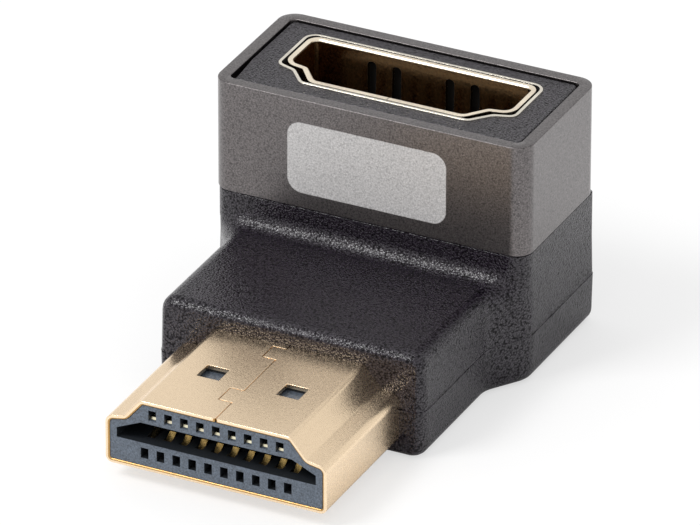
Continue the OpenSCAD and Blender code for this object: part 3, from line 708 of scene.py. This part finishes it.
class ADAPTER_OT_plug(bpy.types.Operator):
    """Finish the plug's folded shell, its insulator and its contacts"""

    bl_idname = "adapter.plug"
    bl_label = "Plug"

    def execute(self, context):
        sizes, _, _ = settings()
        self.add_shell(sizes)
        insulator = insulator_copy("plug_insulator")
        assign(insulator, "slate_plastic")
        # The insulator's hollows get darker slate as painted shade
        second_material(insulator, "slate_painted_shade", self.in_hollow)
        for pin in PINS:
            node = f"plug_contact_{pin:02d}"
            if pin % 2:
                # Lower contacts in darkened gold as painted shade
                assign(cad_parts[node], "contact_gold_painted_shade")
            else:
                self.add_upper_contact(node, sizes)
        return {"FINISHED"}

    def add_shell(self, sizes):
        """The shell, with a bevel inside its mouth in darker gold as a painted reflection, and a narrow
        one outside.
        """
        bm = merged_copy("plug_shell")
        whole_faces(bm)
        front = PLUG_LOW.y + SAME_POINT
        middle = (PLUG_LOW + PLUG_HIGH) / 2
        mouth = [e for e in sharp_edges(bm, CORNER) if all(v.co.y < front for v in e.verts)]
        inner = [e for e in mouth
                 if all(faces_inward(f, middle) for f in e.link_faces if abs(f.normal.y) < LEANING)]
        outer = [e for e in mouth if e not in inner]
        # The inner bevel takes the painted reflection gold
        break_edges(bm, inner, sizes.rim_edge, sizes.edge_steps, material=1)
        outer = [e for e in outer if e.is_valid]
        break_edges(bm, outer, sizes.shell_edge, sizes.edge_steps)
        shell = broken_copy(bm, "plug_shell", sizes.metal_edge)
        for vert in shell.data.vertices:
            vert.co.y = max(vert.co.y, PLUG_LOW.y)
        assign(shell, "satin_gold", "rim_gold_painted_reflection")

    def in_hollow(self, face):
        """Whether a face of the insulator lies in its slot, its windows or its channels, which get
        darker slate as painted shade.
        """
        front = face.center.y < INSULATOR_LOW.y + FRONT_SKIN
        top = face.normal.z > LEANING and face.center.z > INSULATOR_HIGH.z - POCKET_DEPTH
        return not front and not top

    def add_upper_contact(self, node, sizes):
        """An upper contact with its tip near its window."""
        bm = merged_copy(node)
        tip = min(v.co.y for v in bm.verts) + TIP_LENGTH
        for vert in [v for v in bm.verts if v.co.y < tip]:
            vert.co += Vector((0.0, -sizes.tip_reach, -sizes.tip_drop * sizes.tip_reach))
        whole_faces(bm)
        piece = creased_copy(bm, node, sharp_edges(bm, CORNER))
        assign(piece, "contact_tips")


class ADAPTER_OT_socket(bpy.types.Operator):
    """Finish the socket's shell, ring, tongue and contacts"""

    bl_idname = "adapter.socket"
    bl_label = "Socket"

    def execute(self, context):
        sizes, _, _ = settings()
        self.add_shell(sizes)
        bm = merged_copy("socket_outer_shield")
        draw_in(bm.verts, sizes)
        whole_faces(bm)
        ring = broken_copy(bm, "socket_outer_shield", sizes.metal_edge)
        assign(ring, "shield_plate")
        # The ring's inner wall, seen through the shell's slots, gets black painted shade
        second_material(ring, "ring_wall_painted_shade", self.in_ring)
        tongue = insulator_copy("socket_insulator")
        assign(tongue, "slate_plastic")
        for pin in PINS:
            # Socket contacts in darkened gold as painted shade
            assign(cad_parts[f"socket_contact_{pin:02d}"], "contact_gold_painted_shade")
        return {"FINISHED"}

    def add_shell(self, sizes):
        """The shell, with its lip pressed lower and brought forward at the back, and its inner walls in
        darkened gold as painted shade.
        """
        bm = merged_copy("socket_shell")
        top = max(v.co.z for v in bm.verts)
        back = SHIELD_HIGH.y - sizes.ring_shift
        for vert in [v for v in bm.verts if top - v.co.z < sizes.lip_height + SAME_POINT]:
            drop = top - vert.co.z
            lean = (1.0 - min(drop / sizes.lip_height, 1.0)) ** 2
            away = (vert.co.y - sizes.ring_middle) / back
            vert.co.y -= sizes.ring_shift * lean * min(max(away, 0.0), 1.0)
            vert.co.z = top - drop * sizes.lip_share
        whole_faces(bm)
        for face in bm.faces:
            face.material_index = int(face.calc_center_median().z > top - sizes.lip_height)
        shell = broken_copy(bm, "socket_shell", sizes.shell_edge, material=1)
        # Inner walls in darkened gold as painted shade; lip and cut edges in pale gold
        assign(shell, "socket_gold_painted_shade", "lip_gold")

    def in_ring(self, face):
        """Whether a face is on the ring's inner wall, which shows behind the shell's slots and gets
        black painted shade.
        """
        upright = abs(face.normal.z) < LEANING
        return upright and face.normal.to_2d().dot(face.center.to_2d()) < 0


class ADAPTER_OT_inside(bpy.types.Operator):
    """Finish the hidden board and inner mould"""

    bl_idname = "adapter.inside"
    bl_label = "Inside"

    def execute(self, context):
        assign(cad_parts["circuit_board"], "board_lacquer")
        assign(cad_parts["inner_mould"], "natural_plastic")
        return {"FINISHED"}


# Studio


class ADAPTER_OT_studio(bpy.types.Operator):
    """Set up the floor, the lamp, the backdrop and the camera"""

    bl_idname = "adapter.studio"
    bl_label = "Studio"

    def execute(self, context):
        _, _, studio = settings()
        self.add_floor(context.scene, studio)
        self.add_lamp(context.scene, studio)
        self.add_backdrop(context.scene, studio)
        self.add_camera(context.scene, studio)
        context.scene.view_settings.view_transform = "Standard"
        return {"FINISHED"}

    def add_floor(self, scene, studio):
        """The plain floor that the adapter stands on."""
        bm = bmesh.new()
        bmesh.ops.create_grid(bm, x_segments=1, y_segments=1, size=studio.floor_size / 2)
        mesh = bpy.data.meshes.new("floor")
        bm.to_mesh(mesh)
        bm.free()
        floor = bpy.data.objects.new("floor", mesh)
        floor.location.z = CAD_BOX[0][2]
        scene.collection.objects.link(floor)
        self.make_floor_material(studio)
        assign(floor, "pale_floor")

    def make_floor_material(self, studio):
        """Pale floor that the camera sees as nearly white, with the adapter's shadow kept."""
        shade = (studio.floor_shade,) * 3
        tree, shader, _ = new_material("pale_floor", shade, 0.0, 0.9)
        shader.inputs["Specular IOR Level"].default_value = 0.1
        white = add(tree, "ShaderNodeEmission", (600, -500), Strength=1.0)
        ray = add(tree, "ShaderNodeLightPath", (400, 300))
        share = add(tree, "ShaderNodeMath", (600, 300), operation="MULTIPLY")
        share.inputs[1].default_value = studio.floor_white
        blend = add(tree, "ShaderNodeMixShader", (800, 200))
        tree.links.new(ray.outputs["Is Camera Ray"], share.inputs[0])
        tree.links.new(share.outputs[0], blend.inputs["Fac"])
        tree.links.new(shader.outputs["BSDF"], blend.inputs[1])
        tree.links.new(white.outputs["Emission"], blend.inputs[2])
        tree.links.new(blend.outputs["Shader"], tree.nodes["Material Output"].inputs["Surface"])

    def add_lamp(self, scene, studio):
        """The square soft lamp, up on the left in front."""
        data = bpy.data.lights.new("key_light", "AREA")
        data.shape = "SQUARE"
        data.size = studio.key_size
        data.energy = studio.key_power
        lamp = bpy.data.objects.new("key_light", data)
        scene.collection.objects.link(lamp)
        toward = Vector(studio.key_side).normalized()
        lamp.location = LIT_POINT + toward * studio.key_distance
        lamp.rotation_euler = toward.to_track_quat("Z", "Y").to_euler()

    def add_backdrop(self, scene, studio):
        """The same white from every side."""
        world = bpy.data.worlds.new("studio_world")
        scene.world = world
        world.use_nodes = True
        back = world.node_tree.nodes["Background"]
        back.inputs["Color"].default_value = (1.0, 1.0, 1.0, 1.0)
        back.inputs["Strength"].default_value = studio.backdrop

    def add_camera(self, scene, studio):
        """The camera, placed from its angles and its aim."""
        data = bpy.data.cameras.new("camera")
        data.lens = studio.lens
        data.sensor_width = 36.0
        data.clip_start = 0.01
        data.clip_end = 10.0
        camera = bpy.data.objects.new("camera", data)
        scene.collection.objects.link(camera)
        level = math.cos(studio.elevation)
        toward = Vector((math.sin(studio.azimuth) * level, -math.cos(studio.azimuth) * level,
                         math.sin(studio.elevation)))
        camera.location = Vector(studio.aim) + toward * studio.distance
        turn = toward.to_track_quat("Z", "Y").to_matrix()
        camera.rotation_euler = (turn @ Matrix.Rotation(studio.roll, 3, "Z")).to_euler()
        scene.camera = camera


class ADAPTER_PT_panel(bpy.types.Panel):
    """Lists the adapter's steps, sizes and colours"""

    bl_idname = "ADAPTER_PT_panel"
    bl_label = "Adapter"
    bl_space_type = "VIEW_3D"
    bl_region_type = "UI"
    bl_category = "Adapter"

    def draw(self, context):
        for step in STEPS:
            self.layout.operator(step.bl_idname)
        for group in settings():
            box = self.layout.box()
            for key in group.__annotations__:
                box.prop(group, key)


STEPS = (
    ADAPTER_OT_finishes, ADAPTER_OT_sleeve, ADAPTER_OT_body, ADAPTER_OT_plug,
    ADAPTER_OT_socket, ADAPTER_OT_inside, ADAPTER_OT_studio,
)
CLASSES = (AdapterSizes, AdapterFinish, AdapterStudio, *STEPS, ADAPTER_PT_panel)


def register():
    for cls in CLASSES:
        bpy.utils.register_class(cls)
    bpy.types.Scene.adapter_sizes = PointerProperty(type=AdapterSizes)
    bpy.types.Scene.adapter_finish = PointerProperty(type=AdapterFinish)
    bpy.types.Scene.adapter_studio = PointerProperty(type=AdapterStudio)


def unregister():
    del bpy.types.Scene.adapter_sizes
    del bpy.types.Scene.adapter_finish
    del bpy.types.Scene.adapter_studio
    for cls in reversed(CLASSES):
        bpy.utils.unregister_class(cls)


def main():
    register()
    bpy.ops.adapter.finishes()
    bpy.ops.adapter.sleeve()
    bpy.ops.adapter.body()
    bpy.ops.adapter.plug()
    bpy.ops.adapter.socket()
    bpy.ops.adapter.inside()
    bpy.ops.adapter.studio()


if __name__ == "__main__":
    main()
